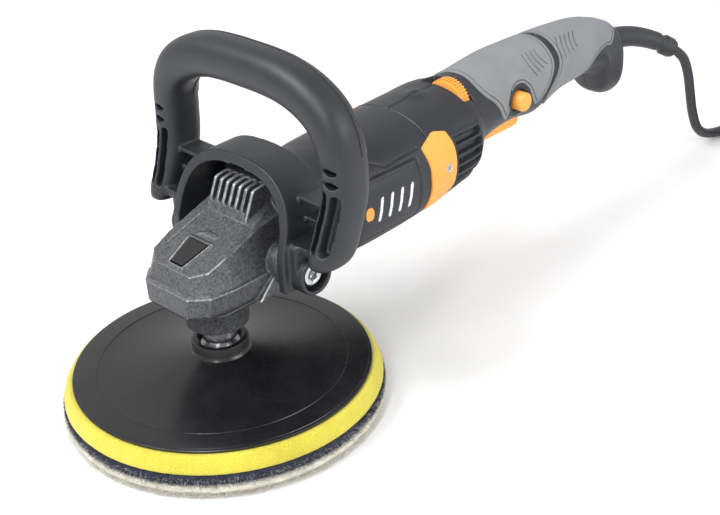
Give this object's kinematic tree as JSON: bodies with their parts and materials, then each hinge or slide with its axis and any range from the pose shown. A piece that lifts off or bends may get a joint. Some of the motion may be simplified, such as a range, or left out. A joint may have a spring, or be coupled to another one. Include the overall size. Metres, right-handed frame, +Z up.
{
  "type": "rotary polisher",
  "caption": "Corded rotary polisher with a loop front handle, a layered foam and wool pad, a trigger grip and a mains cord.",
  "frame": {"origin": "on the spindle axis, at the working face of the polishing pad", "axes": "+X towards the rear handle, -Y to the side of the lock-on button, +Z up the spindle"},
  "size_m": [0.6465, 0.2465, 0.2033],
  "materials": {
    "steel": "ground",
    "black_plastic": "satin black",
    "housing_plastic": "charcoal, finely textured",
    "gear_paint": "hammered metallic grey",
    "orange_plastic": "satin",
    "brass": "plain",
    "carbon": "carbon graphite",
    "copper": "copper segments",
    "black_rubber": "matt",
    "foam": "open-cell yellow foam",
    "grip_rubber": "soft, mid grey",
    "zinc": "bright zinc plating",
    "bristle": "short navy pile",
    "wool": "cream wool pile"
  },
  "bodies": {
    "housing": {"bearing_bridge": "housing_plastic", "bearing_flange": "gear_paint", "brush_cover_left": "orange_plastic", "brush_cover_right": "orange_plastic", "brush_holder_left": "brass", "brush_holder_right": "brass", "carbon_brush_left": "carbon", "carbon_brush_right": "carbon", "cord": "black_rubber", "cord_coil": "black_rubber", "cord_tail": "black_rubber", "cover_screw_left": "steel", "cover_screw_right": "steel", "flange_screw_1": "steel", "flange_screw_2": "steel", "flange_screw_3": "steel", "flange_screw_4": "steel", "front_bearing_outer": "steel", "gear_case": "gear_paint", "grip_front_left": "grip_rubber", "grip_front_right": "grip_rubber", "grip_rear_left": "grip_rubber", "grip_rear_right": "grip_rubber", "handle_bolt_left": "zinc", "handle_bolt_right": "zinc", "handle_shell_left": "housing_plastic", "handle_shell_right": "housing_plastic", "loop_handle": "housing_plastic", "loop_handle_cover": "housing_plastic", "lower_bearing_outer": "steel", "motor_housing": "housing_plastic", "plug": "black_rubber", "rear_bearing_outer": "steel", "side_panel_left": "housing_plastic", "side_panel_right": "housing_plastic", "speed_control_board": "black_plastic", "stator": "steel", "strain_relief": "black_rubber", "switch_body": "black_plastic", "upper_bush": "brass"},
    "spindle": {"spindle": "steel", "crown_gear": "steel", "lower_bearing_inner": "steel", "thread_insert": "steel", "backing_plate": "black_plastic", "foam_pad": "foam", "hook_layer": "bristle", "wool_pad": "wool"},
    "armature": {"armature_shaft": "steel", "armature_core": "steel", "commutator": "copper", "cooling_fan": "black_plastic", "pinion_gear": "steel", "front_bearing_inner": "steel", "rear_bearing_inner": "steel"},
    "trigger": {"trigger": "orange_plastic"},
    "lock_on": {"lock_on_button": "orange_plastic"},
    "dial": {"speed_dial": "orange_plastic"},
    "spindle_lock": {"spindle_lock_button": "black_plastic"}
  },
  "joints": [
    {"name": "spindle_spin", "type": "hinge", "parent": "housing", "child": "spindle", "pos_m": [0, 0, 0], "axis": [0, 0, 1], "continuous": true},
    {"name": "armature_spin", "type": "hinge", "parent": "housing", "child": "armature", "pos_m": [0, 0, 0.095], "axis": [1, 0, 0], "continuous": true},
    {"name": "trigger_press", "type": "hinge", "parent": "housing", "child": "trigger", "pos_m": [0.202, 0, 0.0915], "axis": [0, -1, 0], "range_deg": [0, 5], "stiffness_Nm_per_rad": 3, "springref_deg": -5.73},
    {"name": "lock_on_press", "type": "slide", "parent": "housing", "child": "lock_on", "axis": [0, 1, 0], "range_m": [0, 0.003], "stiffness_N_per_m": 700, "springref_m": -0.001},
    {"name": "speed_dial_turn", "type": "hinge", "parent": "housing", "child": "dial", "pos_m": [0.1875, -0.007, 0.1208], "axis": [1, 0, 0], "range_deg": [-135, 135]},
    {"name": "spindle_lock_press", "type": "slide", "parent": "housing", "child": "spindle_lock", "axis": [0, 0, -1], "range_m": [0, 0.003], "stiffness_N_per_m": 700, "springref_m": -0.001}
  ],
  "couplings": [
    {"joint": "armature_spin", "follows": "spindle_spin", "ratio": 4}
  ]
}
